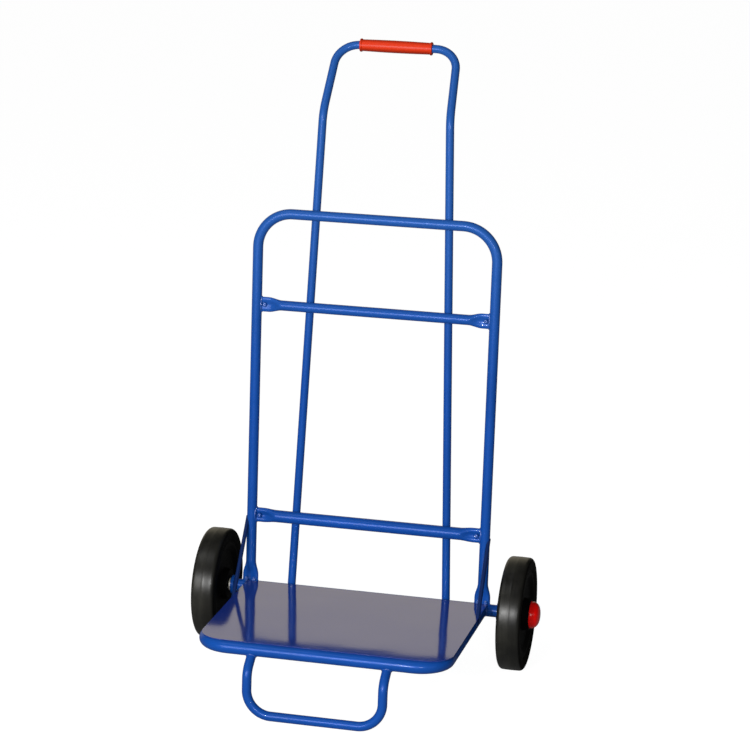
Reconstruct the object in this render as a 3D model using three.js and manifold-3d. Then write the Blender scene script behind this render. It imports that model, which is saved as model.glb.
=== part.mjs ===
// Flyer delivery cart: a bent tube hoop on two wheels, with a sheet platform in front,
// a handle loop behind and a stand under the platform.
// Millimetres, +Z up, +Y to the rear. The axle lies along X. The origin is on the ground,
// under the middle of the cart's box.
import * as THREE from 'three';
import { mergeVertices } from 'three/addons/utils/BufferGeometryUtils.js';
import Module from 'manifold-3d';

const wasm = await Module();
wasm.setup();

// Clearances
const seatGap = 0.3; // left between two pieces that are welded, pressed or seated
const runGap = 0.3; // left round the axle where a wheel turns on it
const cutOverrun = 2; // how far a cutting solid runs past what it cuts

// Wheels
const wheelDiameter = 200;
const tyreWidth = 42;
const wheelOutset = 62.3; // from the hoop's side tube to the middle of the tyre
const tyreShoulder = 7; // radius from tread to side wall
const tyreSidewallDish = 2.5; // how far the side wall stands back from the shoulder
const rimDiameter = 146; // seat of the tyre on the rim
const rimFlangeDepth = 4; // lip on each side of the tyre's foot
const rimFlangeWidth = 3;
const webThickness = 26;
const rimDishTaper = 9; // run of the slope from the disc out to the lips
const hubBossDiameter = 54;
const hubBossOverhang = 4; // outside face of the boss, past the tyre's side
const hubBossInnerOverhang = 3; // inside face of the boss, past the tyre's side
const hubRecessDiameter = 44; // holds the cap's skirt
const hubRecessDepth = 6;

// Axle and what runs on it
const axleDiameter = 12;
const axleTubeDiameter = 22;
const axleTubeWall = 2.5;
const collarDiameter = 34;
const collarWidth = 6;
const bushDiameter = 18;
const bushLength = 18;
const bushFlangeDiameter = 23;
const bushFlangeWidth = 2;
const washerDiameter = 27;
const washerThickness = 1.6;
const pushNutDiameter = 20;
const pushNutWidth = 4;
const pushNutRim = 1.2;
const axleEndPast = 1.5; // axle past its push nut
const axleChamfer = 1;

// Red cap over the axle end
const capDiameter = 48;
const capHeight = 16.5;
const capWall = 1.6;
const capSkirtWall = 1.4;
const capSkirtLength = 4.5;
const capCornerRadius = 10;
const capCrown = 1.8; // rise of the top inside its rounded edge
const capTaper = 1.5; // how much the side leans in

// Hoop and crossbars
const hoopTube = 18;
const hoopWidth = 424; // between the side tubes' centre lines
const hoopHeight = 681; // axle centre to the top bar's centre line
const hoopCornerRadius = 61;
const hoopFootWidth = 28; // flattened foot on the axle tube
const hoopFootThickness = 7.5;
const hoopFootLength = 38; // from full tube to the end
const hoopFootFlat = 12; // of which fully flat
const upperBarTube = 18;
const upperBarHeight = 518.5;
const lowerBarTube = 22;
const lowerBarHeight = 135;
const barEndWidth = 28; // flattened ends of both crossbars
const upperBarEndThickness = 6.5;
const lowerBarEndThickness = 12;
const barEndLength = 46; // from full tube to the hoop's centre line
const barEndFlat = 22; // of which fully flat

// Handle loop and grip
const handleTube = 14.4;
const handleFootDrop = 8; // foot below the axle's centre line
const handleFootSpread = 283.8; // between the leg centre lines at the axle
const handleBendSpread = 223.8; // and at the bend
const handleBendHeight = 861;
const handleBendAngle = 35; // degrees, how far the top leans back from the legs
const handleBendRadius = 60;
const handleTopReach = 134; // from the bend to the top bar's centre line
const handleTopSpread = 211.2; // between the corners at the top
const handleCornerRadius = 40;
const gripDiameter = 21.5;
const gripCollarDiameter = 24.5;
const gripCollarWidth = 4;
const gripLength = 128;
const gripEdge = 1.2; // rounding of the grip's collars

// Platform
const platformTube = 22;
const platformDepth = 331.8; // axle centre to the front tube's centre line
const platformTaper = 8; // how much narrower the front is than the hoop
const platformCornerRadius = 50;
const plateThickness = 1.2;
const plateFrontOverhang = 1; // plate past the front tube's centre line
const plateSideOverhang = 5; // and past the side tubes' centre lines
const plateCornerRadius = 38;

// Braces from the hoop down to the platform's sides
const braceRod = 9.4;
const braceTopHeight = 131;
const braceTopOutset = 7; // outside the hoop's centre line
const braceFootForward = 95.2;
const braceFootDrop = 1.5; // below the centre plane of the platform's tubes
const braceFootOutset = 11; // outside the platform's side tube's centre line

// Stand
const standTube = 16;
const standWidth = 231.4; // between the leg centre lines
const standOverhang = 27.2; // bottom bar's centre line in front of the front tube's
const standDrop = 103.6; // and below it, square to the platform
const standBendDrop = 29; // where the legs turn back to the platform, below its tubes
const standLegSetback = 3.8; // where the legs end, behind the front tube's centre line
const standLegEndDrop = 6;
const standBendRadius = 27;
const standCornerRadius = 42;

// Counts of faces
const sides = { tube: 14, thin: 10, wheel: 40, small: 20 };
const bendSteps = 6;
const footSteps = 4;
const shoulderSteps = 3;
const domeSteps = 4;

// Colours, roughness and metalness from the photograph
const finishes = {
  enamel: new THREE.MeshStandardMaterial({ color: 0x1449a5, roughness: 0.22, metalness: 0.1 }),
  rubber: new THREE.MeshStandardMaterial({ color: 0x1b1b19, roughness: 0.6, metalness: 0 }),
  rim: new THREE.MeshStandardMaterial({ color: 0x0d0d0d, roughness: 0.45, metalness: 0 }),
  grip: new THREE.MeshStandardMaterial({ color: 0xdc3c1e, roughness: 0.35, metalness: 0 }),
  cap: new THREE.MeshStandardMaterial({ color: 0xb00808, roughness: 0.25, metalness: 0 }),
  steel: new THREE.MeshStandardMaterial({ color: 0xb8b8b4, roughness: 0.35, metalness: 1 }),
  nylon: new THREE.MeshStandardMaterial({ color: 0xd9d6cc, roughness: 0.5, metalness: 0 }),
};

// Places worked out from the sizes above, in the frame's own axes:
// X to the side, Y to the rear, Z along the hoop, from the middle of the axle.
const wheelRadius = wheelDiameter / 2;
const wheelTrack = hoopWidth + 2 * wheelOutset;
const tyreInside = wheelTrack / 2 - tyreWidth / 2;
const tyreOutside = wheelTrack / 2 + tyreWidth / 2;
const bossInside = tyreInside - hubBossInnerOverhang;
const bossOutside = tyreOutside + hubBossOverhang;
const innerWasherEnd = bossInside - 2 * seatGap - bushFlangeWidth;
const collarEnd = innerWasherEnd - washerThickness - seatGap;
const axleTubeHalf = collarEnd - collarWidth - seatGap;
const recessFloor = bossOutside - hubRecessDepth;
const outerWasherStart = recessFloor + 2 * seatGap + bushFlangeWidth;
const pushNutStart = outerWasherStart + washerThickness + seatGap;
const axleHalf = pushNutStart + pushNutWidth + axleEndPast;
const runningBore = axleDiameter + 2 * runGap;
const handleFootOffset = axleTubeDiameter / 2 + handleTube / 2 + seatGap;
const handleTopOffset = hoopTube / 2 + handleTube / 2 + seatGap;
const handleLean = Math.atan((handleTopOffset - handleFootOffset) / hoopHeight);
const axleTubeTop = axleTubeDiameter / 2 + seatGap;
const plateUnderside = Math.max(platformTube, axleTubeDiameter) / 2 + seatGap;
const plateRear = hoopFootThickness / 2 + seatGap;
const platformFrontWidth = hoopWidth - platformTaper;
const standForward = platformDepth + standOverhang;
const standLegEndForward = platformDepth - standLegSetback;

// The cart stands on its wheels and on the stand, which sets how far the frame leans back.
const standReach = Math.hypot(standForward, standDrop);
const frameLean = Math.atan2(standDrop, standForward)
  - Math.asin((wheelRadius - standTube / 2) / standReach);

// A path through given stations. Each step of an extrusion falls on one station, so that a
// straight length takes one step and a bend takes several.
class StationPath extends THREE.Curve {
  constructor(stations) {
    super();
    this.stations = stations;
  }
  at(u, key) {
    const place = u * (this.stations.length - 1);
    const index = Math.min(Math.floor(place), this.stations.length - 2);
    const from = this.stations[index][key];
    return from.clone().lerp(this.stations[index + 1][key], place - index);
  }
  getPoint(t, target = new THREE.Vector3()) {
    return target.copy(this.at(t, 'point'));
  }
  getPointAt(u, target) {
    return this.getPoint(u, target);
  }
  getTangentAt(u, target = new THREE.Vector3()) {
    return target.copy(this.at(u, 'tangent')).normalize();
  }
  getLength() {
    return this.stations.length;
  }
}

// Stations along a line of straight lengths, with each inner corner rounded to its radius.
function bentPath(corners, radii) {
  const stations = [];
  const add = (point, tangent) => stations.push({ point, tangent: tangent.clone().normalize() });
  const count = corners.length;
  add(corners[0].clone(), corners[1].clone().sub(corners[0]));
  for (let i = 1; i < count - 1; i++) {
    const into = corners[i].clone().sub(corners[i - 1]).normalize();
    const out = corners[i + 1].clone().sub(corners[i]).normalize();
    const turn = into.angleTo(out);
    const axis = into.clone().cross(out).normalize();
    const setback = radii[i - 1] * Math.tan(turn / 2);
    const start = corners[i].clone().addScaledVector(into, -setback);
    const toCentre = axis.clone().cross(into);
    const centre = start.clone().addScaledVector(toCentre, radii[i - 1]);
    for (let k = 0; k <= bendSteps; k++) {
      const angle = turn * k / bendSteps;
      const spoke = start.clone().sub(centre).applyAxisAngle(axis, angle);
      add(centre.clone().add(spoke), into.clone().applyAxisAngle(axis, angle));
    }
  }
  add(corners[count - 1].clone(), corners[count - 1].clone().sub(corners[count - 2]));
  return stations;
}

// Extra stations over the first or last length of a path, for an end that changes its section.
function withEndSteps(stations, length, atStart) {
  const [end, next] = atStart ? stations : [...stations].reverse();
  const toward = next.point.clone().sub(end.point).normalize();
  const extra = [];
  for (let k = 1; k <= footSteps; k++) {
    const point = end.point.clone().addScaledVector(toward, length * k / footSteps);
    extra.push({ point, tangent: end.tangent });
  }
  if (atStart) return [stations[0], ...extra, ...stations.slice(1)];
  return [...stations.slice(0, -1), ...extra.reverse(), stations[stations.length - 1]];
}

function roundSection(diameter, count) {
  const points = [];
  for (let k = 0; k < count; k++) {
    const angle = (k + 1 / 2) * 2 * Math.PI / count;
    points.push(new THREE.Vector2(Math.cos(angle), Math.sin(angle)).multiplyScalar(diameter / 2));
  }
  return new THREE.Shape(points);
}

function tubeAlong(stations, diameter, count = sides.tube) {
  return new THREE.ExtrudeGeometry(roundSection(diameter, count), {
    steps: stations.length - 1,
    extrudePath: new StationPath(stations),
  });
}

// Squashes the end of a tube: wider along one direction, thinner along the other.
function flattenEnd(geometry, end, inward, wide, thin, spec) {
  const place = geometry.attributes.position;
  const point = new THREE.Vector3();
  for (let i = 0; i < place.count; i++) {
    point.fromBufferAttribute(place, i).sub(end);
    const along = point.dot(inward);
    if (along > spec.length) continue;
    const share = THREE.MathUtils.smoothstep(spec.length - along, 0, spec.length - spec.flat);
    const widen = THREE.MathUtils.lerp(1, spec.width / spec.tube, share) - 1;
    const squash = THREE.MathUtils.lerp(1, spec.thickness / spec.tube, share) - 1;
    const acrossWide = point.dot(wide);
    const acrossThin = point.dot(thin);
    point.addScaledVector(wide, acrossWide * widen).addScaledVector(thin, acrossThin * squash);
    point.add(end);
    place.setXYZ(i, point.x, point.y, point.z);
  }
  return geometry;
}

// Turns a closed outline of [along the axle, radius] pairs round X.
function turned(outline, count) {
  const points = outline.map(([along, radius]) => new THREE.Vector2(radius, along));
  const geometry = new THREE.LatheGeometry(points, count);
  return geometry.rotateZ(-Math.PI / 2);
}

// A quarter or other arc of an outline, from one angle to another.
function arc(alongCentre, radiusCentre, radius, from, to, steps) {
  const points = [];
  for (let k = 0; k <= steps; k++) {
    const angle = from + (to - from) * k / steps;
    points.push([alongCentre + radius * Math.cos(angle), radiusCentre + radius * Math.sin(angle)]);
  }
  return points;
}

function ring(start, end, outer, inner, count = sides.small) {
  const [near, far, wide, bore] = [start, end, outer / 2, inner / 2];
  return turned([[near, bore], [near, wide], [far, wide], [far, bore], [near, bore]], count);
}

function solid(geometry) {
  const bare = geometry.clone();
  bare.deleteAttribute('normal');
  bare.deleteAttribute('uv');
  const merged = mergeVertices(bare);
  return new wasm.Manifold(new wasm.Mesh({
    numProp: 3,
    vertProperties: new Float32Array(merged.attributes.position.array),
    triVerts: new Uint32Array(merged.index.array),
  }));
}

function plain(body) {
  const mesh = body.getMesh();
  const result = new THREE.BufferGeometry();
  result.setAttribute('position', new THREE.BufferAttribute(mesh.vertProperties, 3));
  result.setIndex(new THREE.BufferAttribute(mesh.triVerts, 1));
  result.computeVertexNormals();
  return result;
}

function cutBy(geometry, ...cutters) {
  return plain(cutters.reduce((body, cutter) => body.subtract(solid(cutter)), solid(geometry)));
}

// A straight round cutter that stands off a tube by the seat gap.
function tubeCutter(from, to, diameter, count = sides.tube) {
  const along = to.clone().sub(from).normalize().multiplyScalar(cutOverrun);
  const stations = bentPath([from.clone().sub(along), to.clone().add(along)], []);
  const round = (diameter + 2 * seatGap) / Math.cos(Math.PI / count);
  return tubeAlong(stations, round, count);
}

const cart = new THREE.Group();
const frame = new THREE.Group();
frame.position.z = wheelRadius;
frame.rotation.x = -frameLean;
const running = new THREE.Group();
running.position.z = wheelRadius;
cart.add(frame, running);

function addPiece(group, name, geometry, finish) {
  const mesh = new THREE.Mesh(geometry, finishes[finish]);
  mesh.name = name;
  group.add(mesh);
  return mesh;
}

const vec = (x, y, z) => new THREE.Vector3(x, y, z);
const alongX = vec(1, 0, 0);
const alongY = vec(0, 1, 0);
const alongZ = vec(0, 0, 1);
const halves = [['left', -1], ['right', 1]];
const sideX = hoopWidth / 2;

// Hoop: one bent tube, its feet flattened on top of the axle tube
function hoop() {
  const corners = [
    vec(-sideX, 0, axleTubeTop), vec(-sideX, 0, hoopHeight),
    vec(sideX, 0, hoopHeight), vec(sideX, 0, axleTubeTop),
  ];
  let stations = bentPath(corners, [hoopCornerRadius, hoopCornerRadius]);
  stations = withEndSteps(stations, hoopFootLength, true);
  stations = withEndSteps(stations, hoopFootLength, false);
  const spec = {
    tube: hoopTube, width: hoopFootWidth, thickness: hoopFootThickness,
    length: hoopFootLength, flat: hoopFootFlat,
  };
  const geometry = tubeAlong(stations, hoopTube);
  for (const [, side] of halves) {
    const end = vec(side * sideX, 0, axleTubeTop);
    flattenEnd(splitSide(geometry, side), end, alongZ, alongX, alongY, spec);
  }
  return geometry;
}

// The vertices of one side of X, as a geometry-like view that writes back to the whole.
function splitSide(geometry, side) {
  const place = geometry.attributes.position;
  const picked = [];
  for (let i = 0; i < place.count; i++) {
    if (place.getX(i) * side > 0) picked.push(i);
  }
  const view = {
    count: picked.length,
    getX: (i) => place.getX(picked[i]),
    getY: (i) => place.getY(picked[i]),
    getZ: (i) => place.getZ(picked[i]),
    setXYZ: (i, x, y, z) => place.setXYZ(picked[i], x, y, z),
  };
  return { attributes: { position: view } };
}

// Crossbar: its flattened ends are shaped to the side tubes
function crossbar(height, tube, thickness) {
  let stations = bentPath([vec(-sideX, 0, height), vec(sideX, 0, height)], []);
  stations = withEndSteps(stations, barEndLength, true);
  stations = withEndSteps(stations, barEndLength, false);
  const geometry = tubeAlong(stations, tube);
  const spec = { tube, width: barEndWidth, thickness, length: barEndLength, flat: barEndFlat };
  for (const [, side] of halves) {
    const end = vec(side * sideX, 0, height);
    flattenEnd(splitSide(geometry, side), end, vec(-side, 0, 0), alongZ, alongY, spec);
  }
  const sideTubes = halves.map(([, side]) => tubeCutter(
    vec(side * sideX, 0, height - barEndWidth),
    vec(side * sideX, 0, height + barEndWidth),
    hoopTube,
  ));
  return cutBy(geometry, ...sideTubes);
}

// Handle: its legs lean from the axle tube to the hoop's top bar, then bend back
const handlePoint = (side, height, spread) => vec(
  side * spread / 2,
  handleFootOffset + height * Math.tan(handleLean),
  height,
);
const handleBend = handlePoint(1, handleBendHeight, handleBendSpread);
const handleBack = THREE.MathUtils.degToRad(handleBendAngle);
const handleTop = vec(
  handleTopSpread / 2,
  handleBend.y + handleTopReach * Math.sin(handleBack),
  handleBend.z + handleTopReach * Math.cos(handleBack),
);

function handleLoop() {
  const mirrored = (point) => vec(-point.x, point.y, point.z);
  const splay = (handleFootSpread - handleBendSpread) / handleBendHeight;
  const footSpread = handleFootSpread + splay * handleFootDrop;
  const foot = handlePoint(1, -handleFootDrop, footSpread);
  const corners = [
    mirrored(foot), mirrored(handleBend), mirrored(handleTop), handleTop, handleBend, foot,
  ];
  const radii = [handleBendRadius, handleCornerRadius, handleCornerRadius, handleBendRadius];
  return tubeAlong(bentPath(corners, radii), handleTube, sides.tube);
}

// Grip: a sleeve over the handle's top bar with a collar at each end
function grip() {
  const bore = (handleTube / 2 + seatGap) / Math.cos(Math.PI / sides.small);
  const body = gripDiameter / 2;
  const collar = gripCollarDiameter / 2;
  const end = gripLength / 2;
  const shoulder = end - gripCollarWidth;
  const outline = [
    [-end, bore],
    [-end, collar - gripEdge], [-end + gripEdge, collar], [-shoulder - gripEdge, collar],
    [-shoulder, body],
    [shoulder, body],
    [shoulder + gripEdge, collar], [end - gripEdge, collar], [end, collar - gripEdge],
    [end, bore],
    [-end, bore],
  ];
  return turned(outline, sides.small).translate(0, handleTop.y, handleTop.z);
}

// Platform: a U of tube whose rear ends are shaped to the axle tube
const frontX = platformFrontWidth / 2;
const platformPath = bentPath([
  vec(-sideX, 0, 0), vec(-frontX, -platformDepth, 0),
  vec(frontX, -platformDepth, 0), vec(sideX, 0, 0),
], [platformCornerRadius, platformCornerRadius]);

function platformFrame() {
  const reach = sideX + platformTube;
  const axle = tubeCutter(vec(-reach, 0, 0), vec(reach, 0, 0), axleTubeDiameter, sides.small);
  return cutBy(tubeAlong(platformPath, platformTube), axle);
}

// Plate: a flat sheet laid on the platform's tubes, from its front to the hoop's feet
function platformPlate() {
  const rearX = sideX + plateSideOverhang;
  const frontEdgeX = frontX + plateSideOverhang;
  const frontEdgeY = -platformDepth - plateFrontOverhang;
  const outline = bentPath([
    vec(-rearX, -plateRear, 0), vec(-frontEdgeX, frontEdgeY, 0),
    vec(frontEdgeX, frontEdgeY, 0), vec(rearX, -plateRear, 0),
  ], [plateCornerRadius, plateCornerRadius]);
  const shape = new THREE.Shape(outline.map(({ point }) => new THREE.Vector2(point.x, point.y)));
  const sheet = new THREE.ExtrudeGeometry(shape, { depth: plateThickness, bevelEnabled: false });
  return sheet.translate(0, 0, plateUnderside);
}

// Brace: a rod down the outer side, from the hoop to the platform's side tube
function brace(side) {
  const sideAt = (forward) => sideX + (frontX - sideX) * forward / platformDepth;
  const top = vec(side * (sideX + braceTopOutset), 0, braceTopHeight);
  const foot = vec(
    side * (sideAt(braceFootForward) + braceFootOutset), -braceFootForward, -braceFootDrop,
  );
  const hoopSide = tubeCutter(
    vec(side * sideX, 0, axleTubeTop), vec(side * sideX, 0, braceTopHeight + hoopTube), hoopTube,
  );
  const platformSide = tubeCutter(
    vec(side * sideX, 0, 0), vec(side * frontX, -platformDepth, 0), platformTube, sides.small,
  );
  return cutBy(tubeAlong(bentPath([top, foot], []), braceRod, sides.thin), hoopSide, platformSide);
}

// Stand: a U of tube whose legs turn back to the platform's front tube
function standLoop() {
  const legX = standWidth / 2;
  const leg = (side) => [
    vec(side * legX, -standLegEndForward, -standLegEndDrop),
    vec(side * legX, -standForward, -standBendDrop),
    vec(side * legX, -standForward, -standDrop),
  ];
  const corners = [...leg(-1), ...leg(1).reverse()];
  const radii = [standBendRadius, standCornerRadius, standCornerRadius, standBendRadius];
  const reach = legX + standTube;
  const front = tubeCutter(
    vec(-reach, -platformDepth, 0), vec(reach, -platformDepth, 0), platformTube, sides.small,
  );
  return cutBy(tubeAlong(bentPath(corners, radii), standTube), front);
}

// Axle tube, with a collar pressed on each end that the axle passes through
function axleTube() {
  const bore = axleTubeDiameter - 2 * axleTubeWall;
  return ring(-axleTubeHalf, axleTubeHalf, axleTubeDiameter, bore);
}

function axleRod() {
  const end = axleHalf;
  const round = axleDiameter / 2;
  return turned([
    [-end, 0], [-end, round - axleChamfer], [-end + axleChamfer, round],
    [end - axleChamfer, round], [end, round - axleChamfer], [end, 0],
  ], sides.small);
}

// Tyre: solid rubber with a flat tread, its side walls dished to the rim
function tyre() {
  const half = tyreWidth / 2;
  const round = tyreShoulder;
  const foot = rimDiameter / 2 + seatGap;
  const lip = foot + rimFlangeDepth;
  const crown = wheelRadius;
  const outline = [
    [-half + tyreSidewallDish + rimFlangeWidth, foot],
    [-half + tyreSidewallDish + rimFlangeWidth, lip],
    [-half + tyreSidewallDish, lip],
    [-half, crown - 2 * round],
    ...arc(-half + round, crown - round, round, Math.PI, Math.PI / 2, shoulderSteps),
    ...arc(half - round, crown - round, round, Math.PI / 2, 0, shoulderSteps),
    [half, crown - 2 * round],
    [half - tyreSidewallDish, lip],
    [half - tyreSidewallDish - rimFlangeWidth, lip],
    [half - tyreSidewallDish - rimFlangeWidth, foot],
    [-half + tyreSidewallDish + rimFlangeWidth, foot],
  ];
  return turned(outline, sides.wheel);
}

// Rim: the disc inside the tyre, with its boss; outside is +X
function rim() {
  const seat = rimDiameter / 2;
  const half = tyreWidth / 2 - tyreSidewallDish;
  const lipEdge = half - rimFlangeWidth + seatGap;
  const lip = seat + rimFlangeDepth;
  const web = webThickness / 2;
  const boss = hubBossDiameter / 2;
  const outFace = bossOutside - wheelTrack / 2;
  const inFace = bossInside - wheelTrack / 2;
  const bore = bushDiameter / 2 + seatGap;
  const recess = hubRecessDiameter / 2;
  const inner = seat - rimFlangeWidth;
  const outline = [
    [inFace, bore], [inFace, boss], [-web, boss], [-web, inner - rimDishTaper],
    [-half, inner], [-half, lip - seatGap], [-lipEdge, lip - seatGap], [-lipEdge, seat],
    [lipEdge, seat], [lipEdge, lip - seatGap], [half, lip - seatGap], [half, inner],
    [web, inner - rimDishTaper], [web, boss], [outFace, boss],
    [outFace, recess], [outFace - hubRecessDepth, recess], [outFace - hubRecessDepth, bore],
    [inFace, bore],
  ];
  return turned(outline, sides.wheel);
}

// Bush: a flanged sleeve pressed into the boss, its flange at the given place
function bush(flangeFace, outward) {
  const far = flangeFace - outward * (seatGap + bushLength);
  const near = flangeFace + outward * bushFlangeWidth;
  const [bore, body, flange] = [runningBore, bushDiameter, bushFlangeDiameter].map((d) => d / 2);
  const outline = [
    [far, bore], [far, body], [flangeFace, body], [flangeFace, flange], [near, flange],
    [near, bore], [far, bore],
  ];
  if (outward < 0) outline.reverse();
  return turned(outline, sides.small);
}

// Cap: a domed cover whose skirt sits in the boss
function hubCap() {
  const base = bossOutside + seatGap;
  const outer = capDiameter / 2;
  const topEdge = outer - capTaper - capCornerRadius;
  const skirtOut = hubRecessDiameter / 2 - seatGap;
  const shell = (inset) => {
    const round = capCornerRadius - inset;
    const rise = base + capHeight - capCrown - capCornerRadius;
    return [
      ...arc(rise, topEdge, round, Math.PI / 2, 0, domeSteps),
      [base + capHeight - capCrown / 3 - inset, topEdge / 2],
      [base + capHeight - inset, 0],
    ];
  };
  const outside = shell(0);
  const inside = shell(capWall).reverse();
  const outline = [
    ...inside,
    [base - capSkirtLength, skirtOut - capSkirtWall],
    [base - capSkirtLength, skirtOut],
    [base, skirtOut],
    [base, outer],
    ...outside,
  ];
  return turned(outline, sides.small);
}

addPiece(frame, 'hoop_frame', hoop(), 'enamel');
addPiece(frame, 'upper_crossbar', crossbar(upperBarHeight, upperBarTube, upperBarEndThickness), 'enamel');
addPiece(frame, 'lower_crossbar', crossbar(lowerBarHeight, lowerBarTube, lowerBarEndThickness), 'enamel');
addPiece(frame, 'handle_loop', handleLoop(), 'enamel');
addPiece(frame, 'handle_grip', grip(), 'grip');
addPiece(frame, 'platform_frame', platformFrame(), 'enamel');
addPiece(frame, 'platform_plate', platformPlate(), 'enamel');
addPiece(frame, 'stand_loop', standLoop(), 'enamel');
addPiece(running, 'axle_tube', axleTube(), 'enamel');
addPiece(running, 'axle_rod', axleRod(), 'steel');

const collar = ring(collarEnd - collarWidth, collarEnd, collarDiameter, runningBore);
const innerWasher = ring(
  innerWasherEnd - washerThickness, innerWasherEnd, washerDiameter, runningBore,
);
const outerWasher = ring(
  outerWasherStart, outerWasherStart + washerThickness, washerDiameter, runningBore,
);
const nutBore = axleDiameter + 2 * seatGap;
const nutNear = pushNutStart;
const nutFar = pushNutStart + pushNutWidth;
const pushNut = turned([
  [nutNear, nutBore / 2], [nutNear, pushNutDiameter / 2],
  [nutNear + pushNutRim, pushNutDiameter / 2], [nutFar, nutBore / 2 + pushNutRim],
  [nutFar, nutBore / 2], [nutNear, nutBore / 2],
], sides.small);
const tyreMiddle = wheelTrack / 2;

for (const [name, side] of halves) {
  addPiece(frame, `brace_${name}`, brace(side), 'enamel');
  const wheel = new THREE.Group();
  wheel.rotation.z = side < 0 ? Math.PI : 0;
  running.add(wheel);
  addPiece(wheel, `axle_collar_${name}`, collar, 'enamel');
  addPiece(wheel, `inner_washer_${name}`, innerWasher, 'steel');
  addPiece(wheel, `outer_washer_${name}`, outerWasher, 'steel');
  addPiece(wheel, `push_nut_${name}`, pushNut, 'steel');
  addPiece(wheel, `inner_bush_${name}`, bush(bossInside - seatGap, -1), 'nylon');
  addPiece(wheel, `outer_bush_${name}`, bush(recessFloor + seatGap, 1), 'nylon');
  addPiece(wheel, `wheel_rim_${name}`, rim(), 'rim').position.x = tyreMiddle;
  addPiece(wheel, `tyre_${name}`, tyre(), 'rubber').position.x = tyreMiddle;
  addPiece(wheel, `hub_cap_${name}`, hubCap(), 'cap');
}

const middle = new THREE.Box3().setFromObject(cart, true).getCenter(new THREE.Vector3());
frame.position.y = -middle.y;
running.position.y = -middle.y;

export default cart;
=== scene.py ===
"""Flyer delivery cart: bent blue tube, a sheet platform, solid rubber wheels and an orange red grip.

The frame loaded below holds every sub-part at its real size and place. The operators here dress it:
smooth tubes with crushed ends and weld beads, a glossy sheet, moulded tyres and turned fittings.
"""

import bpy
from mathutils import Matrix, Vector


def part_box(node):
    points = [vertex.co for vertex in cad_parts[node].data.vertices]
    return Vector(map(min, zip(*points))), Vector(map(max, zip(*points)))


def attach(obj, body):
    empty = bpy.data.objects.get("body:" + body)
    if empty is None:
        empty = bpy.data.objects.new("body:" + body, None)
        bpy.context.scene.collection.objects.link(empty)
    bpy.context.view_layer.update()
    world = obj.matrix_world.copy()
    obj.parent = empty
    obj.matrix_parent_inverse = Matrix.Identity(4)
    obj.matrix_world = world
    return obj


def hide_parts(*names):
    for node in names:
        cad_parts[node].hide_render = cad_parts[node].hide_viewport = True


bl_info = {
    "name": "Flyer delivery cart",
    "version": (1, 0, 0),
    "blender": (4, 5, 0),
    "location": "3D View > Sidebar > Cart",
    "description": "Dresses the frame of a two-wheeled delivery cart of bent tube",
    "category": "Add Mesh",
}

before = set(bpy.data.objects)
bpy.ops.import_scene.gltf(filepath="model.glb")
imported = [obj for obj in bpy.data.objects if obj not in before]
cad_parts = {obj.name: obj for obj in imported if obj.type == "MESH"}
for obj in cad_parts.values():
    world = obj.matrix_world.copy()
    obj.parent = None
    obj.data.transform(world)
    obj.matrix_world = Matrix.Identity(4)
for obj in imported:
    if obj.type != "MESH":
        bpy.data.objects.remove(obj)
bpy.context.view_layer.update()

import math

import bmesh
import bpy
from bpy.props import FloatProperty, FloatVectorProperty, IntProperty, PointerProperty
from mathutils import Matrix, Vector

SIDES = {"left": -1, "right": 1}
X, Y, Z = Vector((1, 0, 0)), Vector((0, 1, 0)), Vector((0, 0, 1))


def length(name, default, description):
    return FloatProperty(name=name, default=default, min=0, unit="LENGTH", description=description)


def colour(name, default, description):
    return FloatVectorProperty(
        name=name, default=default, min=0, max=1, size=3, subtype="COLOR", description=description,
    )


class CartHoopSizes(bpy.types.PropertyGroup):
    """The hoop and its two crossbars, in the frame's own axes."""
    tube: length("Tube", 0.018, "Diameter of the hoop's tube")
    width: length("Width", 0.424, "Between the centre lines of the uprights")
    height: length("Height", 0.681, "From the axle's centre to the top bar's centre line")
    corner: length("Corner radius", 0.061, "Centre-line radius of the two top bends")
    foot_width: length("Foot width", 0.0285, "Across the crushed foot")
    foot_thickness: length("Foot thickness", 0.0105, "Through the rolled edges of the crushed foot")
    foot_length: length("Foot length", 0.038, "From round tube to the foot's end")
    foot_flat: length("Flat of the foot", 0.012, "Length of the foot that is fully crushed")
    upper_tube: length("Upper bar", 0.018, "Diameter of the upper crossbar")
    upper_height: length("Upper bar height", 0.5185, "From the axle's centre to the upper crossbar")
    upper_end: length("Upper bar end", 0.0065, "Through the crushed ends of the upper crossbar")
    lower_tube: length("Lower bar", 0.022, "Diameter of the lower crossbar")
    lower_height: length("Lower bar height", 0.135, "From the axle's centre to the lower crossbar")
    lower_end: length("Lower bar end", 0.012, "Through the oval ends of the lower crossbar")
    bar_end_width: length("Bar end width", 0.0265, "Height of the ends of both crossbars")
    bar_end_length: length("Bar end length", 0.046, "From round tube to the hoop's centre line")
    bar_end_flat: length("Flat of the bar end", 0.022, "Length of the end that is fully crushed")


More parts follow.
